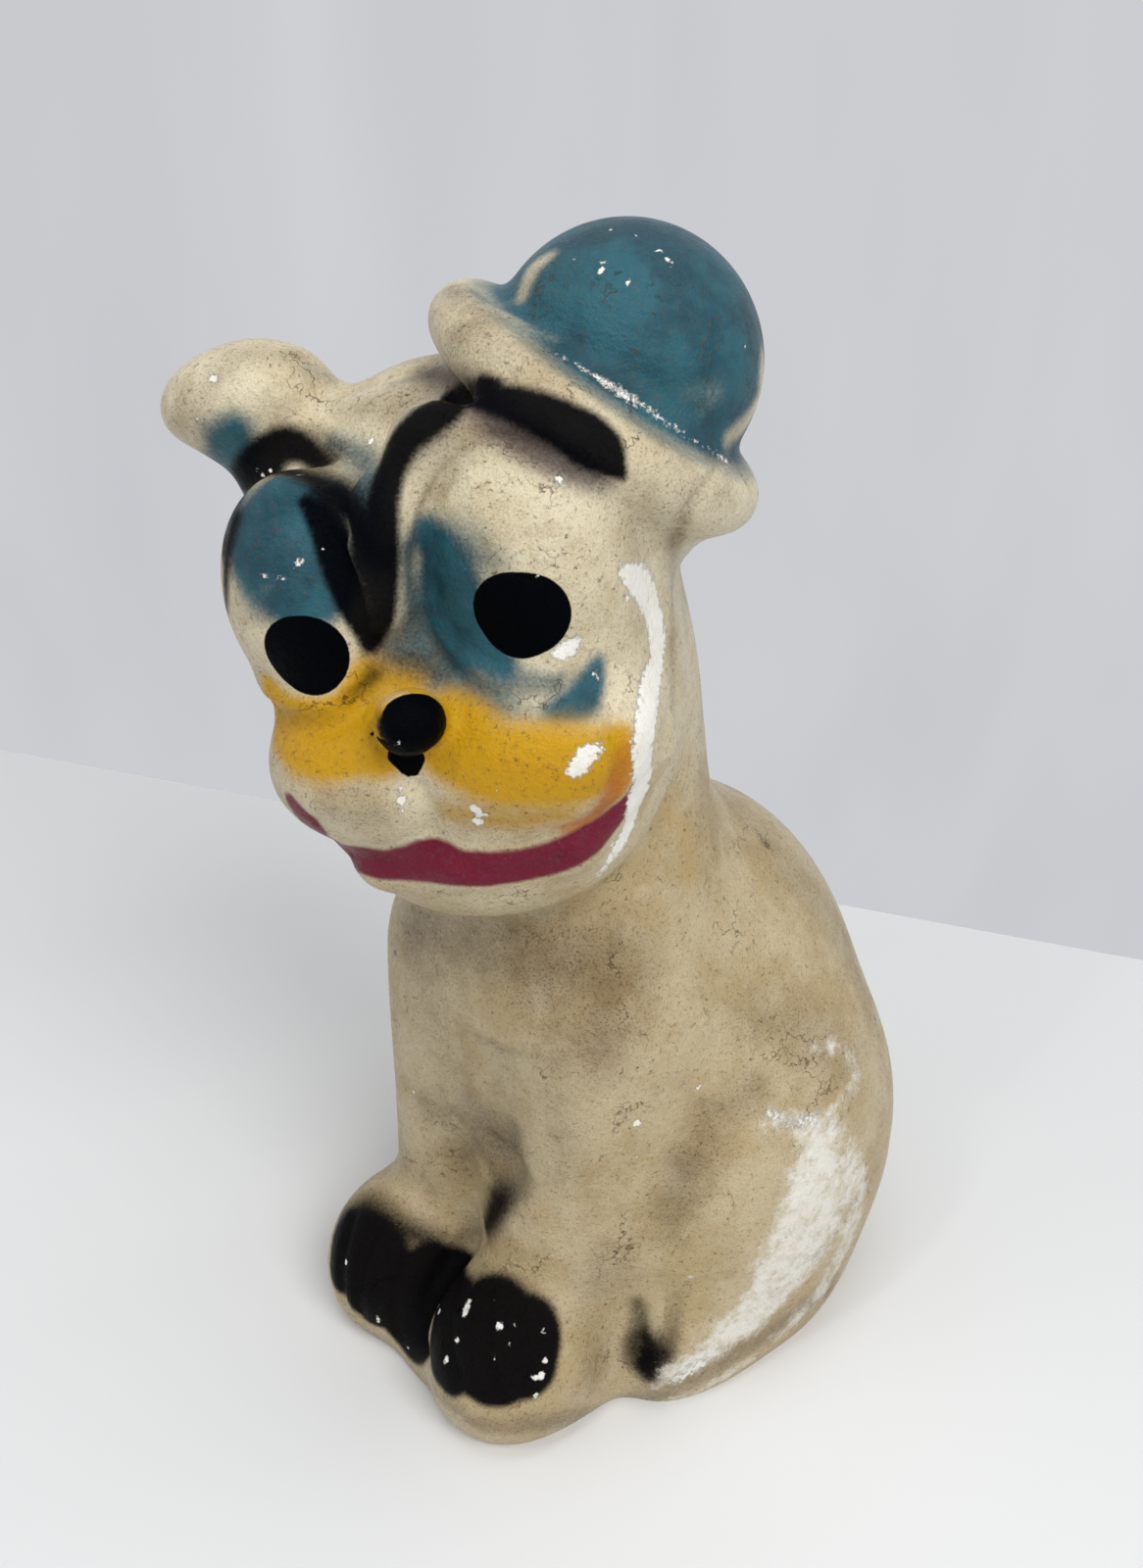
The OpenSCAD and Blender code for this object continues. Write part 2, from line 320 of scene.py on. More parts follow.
# How the skin is looked for, in mm
search = {
    "slopeStep": 0.25,
    "start": 170.0, "rounds": 70,         # along a ray: first distance from the camera, most steps
    "touch": 0.02,                        # a smaller gap counts as reached
    "share": 0.8, "least": 0.05, "most": 12,      # a step is this share of the gap, within limits
    "margin": 14, "beyond": 99.0,         # distances to a stroke stop this far out, at this value
    "batch": 20000,                       # points at a time
    "creaseShading": (3, 9),                     # how far out the skin is felt for creases
}


def skinSlope(points, parts=("body", "head", "hat")):
    step = search["slopeStep"]
    here = skinGap(points, parts)
    along = step * np.eye(3, dtype=np.float32)
    slope = np.stack([skinGap(points + way, parts) - here for way in along], 1) / step
    return here, slope


def pullToSkin(points, rounds, level=0.0, most=4.0):
    for _ in range(rounds):
        here, slope = skinSlope(points)
        move = (here - level)[:, None] * slope / np.maximum((slope ** 2).sum(1), 0.2)[:, None]
        far = np.linalg.norm(move, axis=1, keepdims=True)
        points = points - move * np.minimum(1, most / np.maximum(far, 1e-6))
    return points


def cameraRays(pixels):
    turn = np.array(Euler((math.radians(photo["pitch"]), 0, math.radians(photo["turn"]))).to_matrix())
    pixels = np.asarray(pixels, float)
    rays = np.stack([pixels[:, 0] - photo["width"] / 2, photo["height"] / 2 - pixels[:, 1],
                     np.full(len(pixels), -photo["focal"])], 1) @ turn.T
    return (rays / np.linalg.norm(rays, axis=1, keepdims=True)).astype(np.float32)


def touchSkin(pixels, part):
    # Where the photograph's pixels land on the skin of one part or of all, and mm per pixel there.
    parts = tuple(frames) if part == "all" else (part,)
    rays = cameraRays(pixels)
    eye = np.array(photo["at"], np.float32)
    t = np.full(len(rays), search["start"], np.float32)
    best, bestGap = t.copy(), np.full(len(rays), 1e6, np.float32)
    for _ in range(search["rounds"]):
        gap = skinGap(eye + rays * t[:, None], parts)
        closer = gap < bestGap
        best[closer], bestGap[closer] = t[closer], gap[closer]
        step = np.clip(gap * search["share"], search["least"], search["most"])
        t = t + np.where(gap > search["touch"], step, 0).astype(np.float32)
    hits = pullToSkin(eye + rays * best[:, None], 3)
    return hits, best / photo["focal"]


def densePath(points, gap=4.0):
    # Rounds a given path and fills it with points a few pixels apart.
    points = np.asarray(points, float)
    if len(points) == 1:
        return points
    ends = np.vstack([2 * points[0] - points[1], points, 2 * points[-1] - points[-2]])
    filled = []
    for i in range(1, len(ends) - 2):
        a, b, c, d = ends[i - 1:i + 3]
        count = max(1, int(np.linalg.norm((c - b)[:2]) / gap))
        for t in np.arange(count) / count:
            filled.append(0.5 * (2 * b + (c - a) * t + (2 * a - 5 * b + 4 * c - d) * t ** 2
                                 + (3 * b - a - 3 * c + d) * t ** 3))
    filled.append(points[-1])
    return np.array(filled)


def buildRough():
    # One closed mesh of every form, joined by a voxel remesh.
    made = bmesh.new()
    for form in forms:
        sides = (1, -1) if form["paired"] else (1,)
        for side in sides:
            flip = Matrix.Diagonal((side, 1, 1, 1))
            place = frames[form["part"]] @ flip
            if "edge" in form:
                flat = Matrix.Diagonal((1, 1, form["edge"] / form["radius"], 1))
                bmesh.ops.create_icosphere(made, subdivisions=4, radius=form["radius"],
                                           matrix=place @ Matrix.Translation(form["centre"]) @ flat)
            elif "centre" in form:
                lean = Matrix.Rotation(math.radians(form["lean"]), 4, "X")
                shape = Matrix.Translation(form["centre"]) @ lean @ Matrix.Diagonal((*form["radii"], 1))
                bmesh.ops.create_icosphere(made, subdivisions=4, radius=1, matrix=place @ shape)
            else:
                for i in range(casting["limbSteps"] + 1):
                    t = i / casting["limbSteps"]
                    radius = form["radii"][0] + (form["radii"][1] - form["radii"][0]) * t
                    at = Vector(form["start"]).lerp(Vector(form["end"]), t)
                    bmesh.ops.create_icosphere(made, subdivisions=3, radius=radius,
                                               matrix=place @ Matrix.Translation(at))
    bmesh.ops.recalc_face_normals(made, faces=made.faces)
    mesh = bpy.data.meshes.new("roughCast")
    made.to_mesh(mesh)
    made.free()
    return mesh


def changed(mesh, kind, **settings):
    # The mesh that one modifier makes of this one.
    holder = addObject("holder", mesh)
    change = holder.modifiers.new("change", kind)
    for name, value in settings.items():
        setattr(change, name, value)
    done = bpy.data.meshes.new_from_object(holder.evaluated_get(bpy.context.evaluated_depsgraph_get()))
    bpy.data.objects.remove(holder)
    return done


def remeshed(mesh, grid):
    return changed(mesh, "REMESH", mode="VOXEL", voxel_size=grid)


def readVectors(items, name):
    values = np.empty(len(items) * 3, np.float32)
    items.foreach_get(name, values)
    return values.reshape(-1, 3)


def meshPoints(mesh):
    return readVectors(mesh.vertices, "co")


def setPoints(mesh, points):
    mesh.vertices.foreach_set("co", np.asarray(points, np.float32).ravel())
    mesh.update()


def meshNormals(mesh):
    return readVectors(mesh.vertex_normals, "vector")


def strokeGap(points, centres, radii):
    # Distance from each point to a stroke of overlapping dabs.
    gap = np.full(len(points), search["beyond"], np.float32)
    reach = radii.max() + search["margin"]
    low, high = centres.min(0) - reach, centres.max(0) + reach
    near = np.nonzero(((points > low) & (points < high)).all(1))[0]
    for start in range(0, len(near), search["batch"]):
        some = near[start:start + search["batch"]]
        away = np.linalg.norm(points[some][:, None] - centres[None], axis=2) - radii[None]
        gap[some] = away.min(1)
    return gap


# Strokes in pixels of the photograph, with half width and height in mm.
# A raised line has a height above zero, a groove below.
carving = {
    "browEdge": ("all", [(382, 652), (392, 600), (394, 545), (398, 490), (412, 448), (440, 420),
        (464, 406)], 2.4, 0.9),
    "browUnderline": ("all", [(560, 440), (600, 464), (628, 480)], 1.6, 0.7),
    "rightLidLine": ("all", [(426, 590), (430, 540), (446, 500), (476, 466), (520, 450), (556, 462)],
        1.5, -1.0),
    "rightLidRidge": ("head", [(438, 620), (434, 576), (438, 540), (456, 504), (486, 478)], 1.5, 0.8),
    "rightEyeRim": ("head", [(440, 630), (458, 660), (486, 684), (520, 696), (556, 692), (580, 672)],
        2.0, 1.0),
    "rightEyeGroove": ("head", [(430, 642), (452, 676), (484, 702), (524, 714), (566, 706), (592, 680)],
        2.4, -1.2),
    "leftLidLine": ("head", [(372, 650), (364, 600), (344, 552), (316, 522), (282, 516), (256, 530)],
        1.5, -1.0),
    "leftLidRidge": ("head", [(384, 630), (374, 588), (356, 552), (332, 520), (304, 500), (272, 492)],
        2.2, 1.1),
    "leftEyeRim": ("head", [(262, 690), (284, 712), (316, 722), (348, 714), (366, 692)], 2.0, 1.2),
    "leftEyeGroove": ("head", [(264, 716), (294, 738), (330, 742), (362, 726), (378, 700)], 2.4, -1.6),
    "frownLineOne": ("all", [(296, 446), (318, 432), (338, 440), (352, 458)], 1.3, 0.9),
    "frownLineTwo": ("all", [(318, 418), (346, 412), (384, 410), (424, 394)], 1.6, 0.9),
    "frownLineThree": ("all", [(346, 402), (386, 388), (428, 376), (448, 366)], 1.5, -0.8),
    "philtrum": ("head", [(414, 790), (428, 806), (438, 826), (440, 846), (444, 868)], 1.7, -1.4),
    "lipParting": ("head", [(330, 862), (370, 880), (412, 884), (446, 872), (490, 890), (540, 888),
        (590, 874)], 1.7, -0.9),
    "lipTopLeft": ("head", [(312, 830), (340, 852), (372, 864), (402, 866), (428, 850)], 1.6, -0.8),
    "lipTopRight": ("head", [(446, 856), (478, 868), (520, 867), (560, 859), (602, 843), (632, 820)],
        1.6, -0.8),
    "cheekFold": ("head", [(620, 700), (632, 740), (636, 780), (628, 812)], 2.6, -1.4),
    "brimCreaseRight": ("hat", [(742, 470), (724, 494), (709, 514), (695, 531), (687, 546)], 1.1, -1.5),
    "brimEdge": ("hat", [(470, 292), (506, 317), (540, 336), (569, 357), (603, 377), (637, 394), (666, 414),
        (700, 436), (743, 464)], 1.8, 0.5),
    "hatBandDip": ("hat", [(520, 298), (560, 330), (600, 352), (640, 372), (690, 404), (740, 440)],
        2.4, -0.5),
    "browHollow": ("all", [(500, 380), (534, 392), (570, 408), (600, 430), (620, 456)], 3.4, -1.8),
    "leftToeOne": ("body", [(364, 1224), (352, 1262), (346, 1300), (352, 1340)], 1.5, -0.9),
    "leftToeTwo": ("body", [(388, 1244), (372, 1280), (364, 1320), (370, 1356)], 1.5, -0.9),
    "leftToeThree": ("body", [(424, 1272), (408, 1300), (402, 1340), (410, 1376)], 1.6, -0.5),
    "rightToeOne": ("body", [(470, 1300), (458, 1336), (458, 1380), (470, 1416)], 1.5, -0.8),
    "rightToeTwo": ("body", [(502, 1304), (496, 1344), (498, 1390), (508, 1428)], 1.5, -0.9),
    "rightToeThree": ("body", [(540, 1318), (536, 1350), (536, 1390), (540, 1420)], 1.5, -0.7),
    "pawCleft": ("body", [(470, 1270), (448, 1310), (434, 1352), (436, 1398)], 2.6, -1.6),
    "hindToeOne": ("body", [(654, 1326), (650, 1360), (646, 1400)], 2.2, -1.4),
    "hindToeTwo": ("body", [(694, 1314), (686, 1350), (676, 1388)], 2.0, -1.6),
    "hindToeHollow": ("body", [(662, 1368), (658, 1384), (656, 1398)], 4.0, -2.4),
    "legValley": ("body", [(724, 1120), (706, 1170), (694, 1216), (680, 1262)], 6.0, -1.6),
    "chestValley": ("body", [(496, 1060), (504, 1110), (510, 1160), (506, 1220)], 11.0, -2.6),
    "legRecess": ("body", [(508, 1176), (504, 1202), (500, 1226)], 7.0, -4.0),
}


def carve(points, normals):
    move = np.zeros(len(points), np.float32)
    for part, path, halfWidth, height in carving.values():
        centres, _ = touchSkin(densePath(path), part)
        count = len(centres)
        fromEnd = np.minimum(np.arange(count) + 1, count - np.arange(count))
        taper = np.clip(fromEnd / min(casting["taper"], count / 2), 0, 1)
        gap = strokeGap(points, centres, np.zeros(count, np.float32))
        near = np.nonzero(gap < halfWidth * 3)[0]
        if not len(near):
            continue
        closest = np.linalg.norm(points[near][:, None] - centres[None], axis=2).argmin(1)
        move[near] += height * taper[closest] * np.exp(-(gap[near] / halfWidth) ** 2)
    return points + normals * move[:, None]


# Strokes by the part that they lie on. Each has points of x, y and half width in pixels of the
# photograph, a soft edge in mm, and a strength. A strength below zero wipes the layer away again.
paint = {
    "teal": {"all": [
        ([(244, 560, 22), (262, 560, 36), (290, 550, 46), (312, 566, 46), (326, 592, 40), (304, 610, 30)],
          7, 1.0),
        ([(250, 586, 18), (262, 608, 24), (284, 616, 22), (320, 612, 18)], 10, 0.8),
        ([(318, 490, 16), (346, 506, 26), (366, 530, 26), (380, 566, 20)], 9, 0.8),
        ([(256, 520, 16), (276, 500, 18), (304, 500, 20), (326, 516, 16)], 7, 1.0),
        ([(338, 452, 14), (370, 470, 22), (384, 500, 18)], 9, 0.7),
        ([(436, 540, 14), (446, 560, 24), (460, 590, 34), (470, 620, 34), (486, 650, 24), (512, 672, 14)],
          6, 1.0),
        ([(458, 540, 18), (478, 556, 30), (504, 576, 22)], 11, 0.6),
        ([(446, 596, 20), (452, 634, 22), (470, 664, 22)], 6, 0.95),
        ([(500, 676, 12), (530, 690, 12), (566, 694, 10)], 6, 0.75),
        ([(414, 560, 14), (418, 600, 20), (426, 640, 24), (440, 676, 26), (466, 700, 22), (500, 714, 16)],
          11, 0.7),
        ([(384, 650, 16), (404, 668, 20)], 9, 0.5),
        ([(610, 676, 9), (604, 696, 17), (592, 714, 19), (570, 724, 14)], 5, 0.95),
        ([(484, 712, 14), (520, 728, 18), (560, 736, 18), (592, 730, 16)], 12, 0.6),
        ([(240, 440, 20), (236, 466, 28), (232, 498, 28), (238, 530, 18)], 9, 0.95),
    ], "head": [
        ([(208, 436, 10), (226, 450, 14)], 8, 0.5),
        ([(316, 378, 16), (336, 386, 16)], 8, 0.45),
    ], "hat": [
        ([(532, 300, 10), (544, 274, 15), (560, 262, 9)], 5, -0.7),
        ([(500, 316, 6), (530, 330, 6), (566, 348, 5)], 4, -0.5),
        ([(778, 366, 12), (776, 400, 18), (764, 428, 17), (744, 446, 11)], 7, -0.75),
        ([(700, 404, 10), (730, 400, 14), (716, 420, 8)], 9, -0.35),
    ]},
    "yellow": {"all": [
        ([(268, 706, 14), (290, 742, 30), (330, 758, 38), (368, 752, 40), (392, 758, 38)], 6, 1.0),
        ([(276, 698, 12), (302, 722, 12), (342, 722, 14), (368, 696, 16)], 5, 0.95),
        ([(378, 676, 16), (394, 694, 24), (436, 708, 26), (476, 736, 26)], 9, 0.8),
        ([(456, 766, 34), (500, 784, 40), (552, 788, 42), (602, 788, 38), (632, 780, 22)], 7, 1.0),
        ([(462, 828, 18), (520, 838, 22), (580, 832, 22)], 12, 0.7),
        ([(480, 734, 14), (530, 742, 14), (590, 744, 14), (630, 750, 12)], 13, 0.7),
        ([(636, 752, 14), (642, 786, 14), (632, 812, 14)], 6, 0.95),
        ([(300, 790, 14), (340, 814, 14), (390, 816, 12)], 10, 0.4),
        ([(676, 822, 14), (700, 850, 18), (704, 900, 16)], 14, 0.4),
    ]},
    "orange": {"all": [
        ([(500, 776, 12), (552, 786, 20), (594, 796, 18)], 9, 0.35),
        ([(642, 764, 10), (636, 790, 17), (624, 814, 20), (604, 836, 16), (578, 846, 9)], 7, 0.9),
    ]},
    "purple": {"all": [
        ([(430, 376, 8), (470, 392, 18), (506, 424, 24), (544, 452, 24), (584, 474, 22), (614, 490, 12)],
          10, 1.0),
        ([(330, 556, 10), (342, 588, 14), (348, 620, 14)], 8, 0.5),
        ([(400, 392, 8), (430, 384, 8)], 6, 0.5),
    ]},
    "black": {"all": [
        ([(378, 655, 9), (387, 632, 15), (390, 600, 16), (391, 562, 16), (392, 511, 16), (402, 471, 17),
          (417, 445, 16), (443, 424, 17), (474, 408, 16), (506, 408, 15), (540, 426, 12), (576, 448, 10),
          (612, 472, 6)], 3.0, 1.0),
        ([(376, 655, 9), (362, 624, 18), (352, 592, 20), (343, 562, 21), (334, 541, 18), (322, 524, 13),
          (312, 514, 8)], 2.6, 1.0),
        ([(376, 636, 10), (376, 600, 16), (370, 560, 20), (360, 528, 20), (342, 504, 17)], 7, 0.95),
        ([(372, 560, 16), (366, 520, 20), (348, 492, 22), (322, 476, 20)], 12, 0.7),
        ([(228, 560, 9), (231, 526, 11), (240, 496, 13), (253, 476, 15), (268, 462, 17), (288, 454, 18),
          (310, 460, 15), (330, 474, 10)], 4.5, 1.0),
        ([(252, 496, 10), (272, 484, 16), (296, 482, 18), (318, 492, 16), (332, 510, 12)], 7, 0.9),
        ([(232, 640, 4), (230, 600, 9), (232, 566, 11), (240, 530, 13)], 5, 0.95),
        ([(300, 440, 8), (326, 444, 10), (348, 458, 12)], 8, 0.5),
        ([(490, 388, 6), (512, 394, 12), (534, 405, 18), (560, 418, 22), (584, 432, 25), (604, 444, 25),
          (620, 460, 18), (632, 480, 5)], 3.0, 1.0),
        ([(596, 452, 20), (614, 466, 16), (626, 477, 10), (636, 488, 3)], 2.4, 1.0),
        ([(424, 446, 20), (447, 424, 24), (484, 410, 22), (524, 434, 22), (566, 460, 20), (600, 478, 14)],
          12, 0.6),
        ([(400, 744, 22), (424, 756, 26), (446, 750, 18)], 3, 1.0),
        ([(390, 668, 16), (416, 676, 20), (446, 688, 18)], 9, 0.6),
        ([(352, 712, 7), (368, 702, 9), (380, 690, 9)], 5, 0.7),
        ([(276, 706, 5), (300, 722, 5), (330, 724, 6)], 5, 0.45),
        ([(384, 728, 7), (378, 746, 7), (388, 770, 6)], 5, 0.5),
        ([(496, 1250, 14), (504, 1222, 22), (510, 1196, 20), (516, 1160, 10)], 10, 1.0),
        ([(470, 1200, 22), (480, 1160, 26), (496, 1120, 20)], 16, 0.35),
        ([(346, 1300, 24), (350, 1264, 24), (366, 1262, 24), (380, 1292, 38), (384, 1324, 40),
          (412, 1320, 40), (426, 1352, 36), (440, 1306, 32)], 4, 1.0),
        ([(350, 1240, 16), (374, 1232, 18), (408, 1254, 18), (444, 1268, 14)], 13, 0.85),
        ([(462, 1330, 26), (464, 1380, 34), (496, 1346, 42), (504, 1392, 44), (534, 1364, 38),
          (536, 1396, 33)], 4, 1.0),
        ([(450, 1316, 14), (480, 1306, 14), (520, 1314, 14), (552, 1336, 12)], 11, 0.7),
        ([(468, 1292, 18), (458, 1314, 24), (452, 1346, 27), (448, 1384, 25), (458, 1408, 18)], 4, 1.0),
        ([(436, 1290, 16), (430, 1330, 18), (426, 1370, 16)], 5, 1.0),
        ([(650, 1330, 5), (652, 1356, 10), (656, 1386, 20), (662, 1404, 12)], 8, 1.0),
        ([(688, 1330, 5), (686, 1356, 9), (680, 1384, 12)], 7, 0.7),
        ([(444, 362, 5), (456, 372, 5)], 3, 0.6),
    ]},
    "stain": {"all": [
        ([(390, 700, 14), (384, 730, 10)], 8, 0.4),
    ], "body": [
        ([(604, 950, 20), (632, 986, 28), (624, 1040, 24), (600, 1080, 14)], 22, 0.4),
        ([(790, 1130, 22), (826, 1100, 24), (860, 1050, 18)], 16, 0.3),
        ([(700, 1180, 22), (730, 1120, 20)], 16, 0.3),
        ([(610, 1240, 18), (640, 1300, 18)], 14, 0.35),
    ], "hat": [
        ([(560, 346, 8), (620, 384, 8), (680, 424, 8)], 6, 0.35),
    ]},
    # grime, partly painted shade: the dark on the chest under the head and along the valleys between the legs
    # is painted shade
    "grimeAndShade": {"all": [
        ([(700, 520, 8), (688, 550, 7), (686, 600, 5), (686, 660, 5), (686, 720, 4)], 4, 0.9),
        ([(340, 800, 18), (380, 828, 18), (340, 826, 12)], 9, 0.7),
        ([(470, 832, 18), (520, 838, 16), (560, 832, 10)], 9, 0.7),
        ([(440, 450, 18), (476, 436, 20), (404, 420, 14)], 10, 0.8),
        ([(370, 420, 16), (400, 408, 18), (440, 392, 14)], 10, 0.5),
        ([(650, 560, 14), (640, 500, 14), (690, 560, 8), (700, 640, 6)], 9, 0.4),
        ([(290, 742, 6), (330, 744, 8), (364, 728, 7), (384, 700, 7)], 4, 0.85),
        ([(446, 662, 6), (484, 704, 6), (524, 716, 6), (572, 706, 6)], 4, 0.6),
        ([(270, 790, 10), (290, 820, 10), (320, 846, 8)], 7, 0.5),
        ([(720, 700, 12), (716, 780, 14), (730, 850, 12)], 10, 0.3),
    ], "head": [
        ([(190, 400, 10), (186, 430, 10), (240, 366, 10), (300, 362, 10)], 7, 0.6),
    ], "body": [
        ([(420, 950, 30), (490, 960, 38), (560, 980, 52), (620, 1000, 40), (612, 1070, 24)], 18, 1.0),
        ([(430, 960, 26), (440, 1010, 26), (456, 1080, 26), (476, 1130, 22)], 20, 0.6),
        ([(440, 1130, 22), (490, 1156, 26), (470, 1180, 22)], 12, 0.8),
        ([(560, 1060, 18), (566, 1130, 16), (580, 1200, 14)], 16, 0.45),
        ([(686, 1250, 18), (704, 1200, 24), (730, 1150, 16), (770, 1110, 12)], 12, 0.8),
        ([(770, 1040, 22), (820, 1050, 28), (868, 1080, 18)], 14, 0.6),
        ([(760, 830, 18), (800, 880, 24), (850, 940, 26), (886, 1020, 18)], 16, 0.5),
        ([(640, 1434, 12), (700, 1412, 14), (780, 1362, 14), (850, 1312, 12)], 8, 0.9),
        ([(600, 1446, 14), (550, 1452, 12), (500, 1456, 9), (460, 1434, 8), (400, 1380, 6), (350, 1348, 6)],
          6, 0.9),
        ([(620, 1290, 16), (600, 1340, 16), (610, 1400, 18)], 12, 0.5),
        ([(360, 1200, 20), (400, 1180, 20), (440, 1210, 20)], 14, 0.45),
        ([(470, 1262, 12), (500, 1250, 12)], 12, 0.5),
    ], "hat": [
        ([(460, 294, 10), (474, 304, 14), (494, 322, 12), (470, 340, 14)], 6, 1.0),
        ([(500, 344, 16), (548, 366, 16), (590, 390, 16), (640, 424, 16), (690, 462, 14)], 9, 0.6),
        ([(520, 310, 6), (556, 332, 6), (600, 356, 6), (650, 386, 6), (700, 420, 6)], 5, 0.6),
        ([(700, 500, 12), (740, 500, 14), (730, 470, 10)], 8, 0.6),
    ]},
    "chalk": {"body": [
        ([(836, 1176, 34), (833, 1200, 46), (828, 1241, 54), (808, 1288, 52), (770, 1338, 38),
          (718, 1382, 22), (680, 1410, 14)], 13, 0.95),
        ([(872, 1180, 20), (874, 1220, 26), (862, 1270, 26), (836, 1320, 22), (796, 1362, 14)], 10, 0.8),
        ([(784, 1140, 14), (812, 1146, 16), (846, 1150, 16)], 8, 0.75),
        ([(832, 1072, 12), (860, 1070, 14), (872, 1100, 16), (858, 1132, 16)], 8, 0.7),
        ([(770, 1386, 12), (720, 1416, 12), (690, 1428, 10), (640, 1446, 8), (560, 1462, 8)], 6, 0.75),
        ([(470, 1446, 5), (400, 1392, 5), (350, 1360, 5)], 4, 0.6),
    ]},
    "wearAndHighlight": {"all": [
        # the band down the right edge of the head and cheek is painted highlight as well as bare plaster
        ([(636, 584, 12), (656, 600, 24), (668, 634, 22), (670, 672, 16), (664, 704, 20), (660, 744, 22),
          (656, 790, 20), (646, 830, 17), (630, 866, 12), (612, 892, 7)], 5, 1.0),
        ([(566, 668, 6), (579, 662, 11), (590, 652, 6)], 2.6, 1.0),
        ([(600, 768, 13), (588, 786, 13), (610, 764, 9)], 4, 0.9),
        ([(270, 588, 6), (288, 590, 6)], 3, 0.7),
        ([(692, 470, 4), (724, 486, 4), (710, 512, 3)], 2.4, 0.6),
    ], "body": [
        ([(786, 1136, 12), (812, 1146, 10), (830, 1142, 13)], 6, 0.72),
        ([(714, 1392, 12), (690, 1408, 10)], 6, 0.8),
        ([(690, 1424, 6), (640, 1442, 5), (560, 1456, 5)], 4, 0.66),
    ], "hat": [
        ([(545, 347, 2), (569, 363, 4), (603, 384, 6), (632, 400, 8), (650, 411, 7), (672, 427, 6),
          (700, 445, 5), (720, 458, 4), (742, 471, 6), (740, 488, 5)], 3.4, 0.84),
        ([(476, 299, 4), (500, 317, 4), (524, 333, 4)], 2.4, 0.7),
    ]},
}

# The teal begins between these heights over the brim, within this reach and under this top, in mm
hatPaint = {"low": 2.4, "high": 5.6, "reach": 42, "top": 40}
# The cream turns browner, and the plaster rougher, from the high mark down, in mm
browningBelow = {"high": 186, "low": 118, "rough": 120}

# Crisp marks: points of x, y and half width in pixels
marks = {
    "lips": [
        [(298, 820, 12), (312, 838, 17), (330, 856, 19), (350, 870, 19), (376, 880, 19), (399, 884, 19),
          (420, 882, 22), (440, 880, 26), (466, 888, 23), (500, 890, 22), (545, 884, 21), (581, 871, 20),
          (614, 850, 18), (636, 824, 14), (648, 800, 7)],
    ],
    "ink": [
        [(309, 669, 43), (313, 669, 43)],
        [(524, 627, 45), (538, 628, 45), (528, 632, 45)],
        [(410, 730, 24), (424, 736, 34), (436, 738, 32), (426, 756, 26), (420, 774, 14), (421, 790, 7)],
        [(377, 745, 2), (388, 756, 5), (400, 768, 8), (412, 784, 6), (420, 800, 4), (425, 812, 2)],
    ],
}

# Spots of bare plaster where the paint has flaked: x, y and radius in pixels
chips = {
    "all": [(410, 816, 6), (408, 806, 4), (411, 826, 3.5), (405, 762, 3), (407, 757, 2.5), (485, 826, 7),
        (487, 838, 7), (494, 832, 5), (592, 772, 5), (306, 573, 4.5), (302, 577, 3), (280, 584, 2.5),
        (288, 590, 2), (270, 588, 2), (268, 484, 3), (276, 480, 2.5), (300, 488, 3), (312, 484, 2.5),
        (262, 480, 2), (378, 450, 4), (374, 455, 3), (218, 386, 5), (214, 382, 3), (200, 428, 3),
        (226, 426, 2), (570, 490, 5), (575, 494, 3), (592, 482, 2.2), (548, 587, 2.4), (608, 686, 4),
        (611, 692, 3), (626, 724, 2.6), (620, 710, 2), (536, 869, 4), (528, 872, 2.5), (546, 904, 2.4),
        (624, 862, 4), (632, 850, 3), (556, 384, 2), (558, 806, 2.4), (530, 812, 2), (420, 690, 2),
        (470, 580, 1.4), (476, 581, 1.4), (600, 545, 2), (580, 540, 2.4), (618, 600, 3), (635, 745, 2.4),
        (640, 610, 4), (330, 560, 1.6), (344, 540, 1.4), (506, 806, 1.8), (366, 640, 1.5), (363, 652, 1.4),
        (584, 790, 4), (626, 233, 2.6), (622, 235, 2), (612, 276, 4), (614, 268, 4), (641, 289, 3.4),
        (644, 286, 2.4), (681, 265, 3.6), (684, 270, 3.6), (734, 290, 2.8), (587, 263, 3), (675, 256, 1.8),
        (735, 414, 2.2), (682, 338, 1.6), (611, 365, 1.6), (760, 352, 2), (712, 427, 2), (736, 316, 1.6),
        (552, 262, 2), (780, 332, 2.4), (649, 240, 1.5), (664, 256, 1.5), (752, 372, 1.5)],
    "body": [(676, 1114, 3), (698, 1106, 3.4), (714, 1110, 3.4), (650, 1146, 4.5), (647, 1148, 3),
        (650, 1180, 2.2), (772, 1154, 3), (422, 1114, 2.4), (802, 1262, 2), (352, 1288, 3),
        (384, 1316, 1.8), (386, 1348, 3.4), (384, 1344, 2.4), (448, 1338, 3.4), (447, 1333, 2.6),
        (476, 1334, 4.2), (479, 1328, 3.4), (474, 1341, 3), (466, 1368, 3), (502, 1326, 2.4),
        (509, 1355, 3.6), (510, 1350, 3), (526, 1352, 2), (502, 1382, 2.8), (503, 1388, 2.4),
        (454, 1388, 3.4), (458, 1384, 2.4), (520, 1372, 1.8), (554, 1358, 2.4), (556, 1388, 3),
        (552, 1404, 4), (544, 1407, 3), (547, 1424, 3), (336, 1268, 1.6), (344, 1316, 1.6), (416, 1376, 2),
        (360, 1350, 2.4), (368, 1354, 2.4), (634, 1398, 2.4), (640, 1380, 2), (640, 1392, 1.8),
        (704, 1302, 3), (708, 1304, 2), (590, 1062, 1.4), (594, 1067, 1.4), (640, 1072, 2), (676, 1150, 2),
        (604, 992, 1.6)],
}

